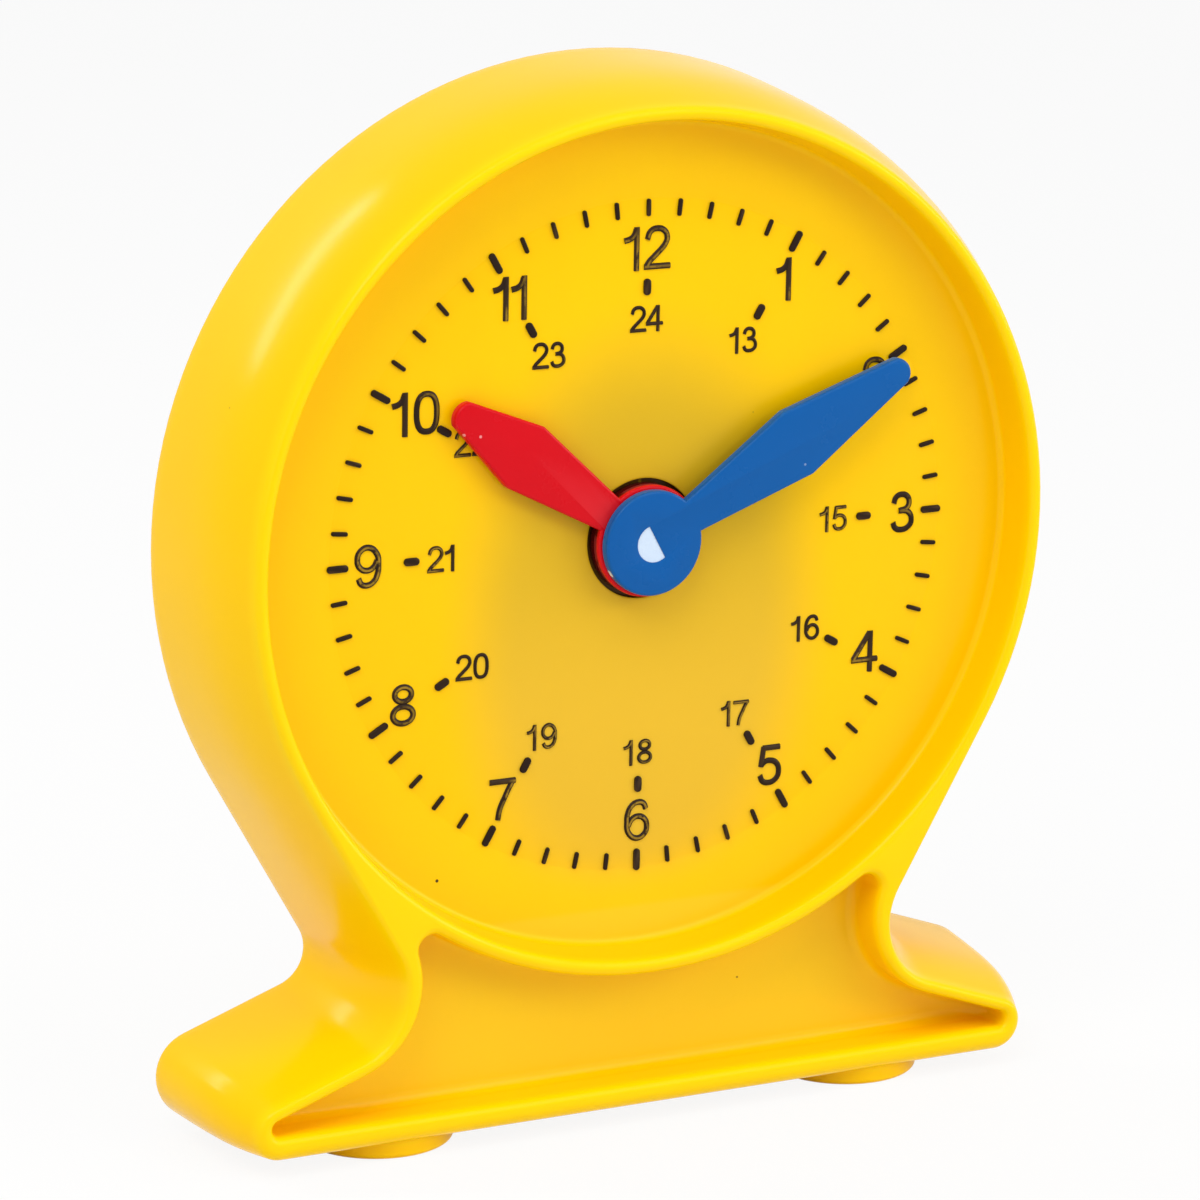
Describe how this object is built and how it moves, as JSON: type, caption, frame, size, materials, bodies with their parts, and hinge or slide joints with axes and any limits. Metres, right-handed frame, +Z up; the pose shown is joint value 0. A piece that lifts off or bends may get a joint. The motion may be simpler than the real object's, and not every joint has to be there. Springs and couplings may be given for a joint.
{
  "type": "geared teaching clock",
  "caption": "Free-standing classroom clock model: a moulded case with a recessed numbered dial, and two hands geared together so that turning the minute hand carries the hour hand round.",
  "frame": {"origin": "on the table under the middle of the case", "axes": "+X to the right of someone reading the dial, +Y from the dial to the back cover, +Z up"},
  "size_m": [0.125, 0.024, 0.1417],
  "materials": {
    "yellow_shell": "glossy injection moulded yellow",
    "yellow_cover": "satin moulded yellow",
    "yellow_feet": "glossy moulded yellow",
    "red_hand": "glossy red",
    "blue_hand": "glossy blue",
    "black_marks": "raised marks, dark foil",
    "white_gears": "natural white acetal",
    "washer_plastic": "natural white acetal",
    "screw_steel": "zinc plated",
    "pin_steel": "ground steel"
  },
  "bodies": {
    "stand": {"case": "yellow_shell", "back_cover": "yellow_cover", "cover_screws": "screw_steel", "left_foot": "yellow_feet", "right_foot": "yellow_feet", "intermediate_stud": "pin_steel", "spring_washer": "pin_steel", "minute_marks": "black_marks", "hour_marks": "black_marks", "inner_hour_marks": "black_marks"},
    "minute_group": {"minute_hand": "blue_hand", "minute_arbor": "white_gears", "minute_pinion": "white_gears", "spacer_washer": "washer_plastic"},
    "hour_group": {"hour_hand": "red_hand", "hour_wheel": "white_gears"},
    "intermediate_group": {"intermediate_gear": "white_gears"}
  },
  "joints": [
    {"name": "minute_spin", "type": "hinge", "parent": "stand", "child": "minute_group", "pos_m": [0, 0, 0.0792], "axis": [0, 1, 0], "continuous": true},
    {"name": "hour_spin", "type": "hinge", "parent": "stand", "child": "hour_group", "pos_m": [0, 0, 0.0792], "axis": [0, 1, 0], "continuous": true},
    {"name": "intermediate_spin", "type": "hinge", "parent": "stand", "child": "intermediate_group", "pos_m": [0, 0, 0.0552], "axis": [0, 1, 0], "continuous": true}
  ],
  "couplings": [
    {"joint": "intermediate_spin", "follows": "minute_spin", "ratio": -0.33333},
    {"joint": "hour_spin", "follows": "minute_spin", "ratio": 0.083333}
  ]
}
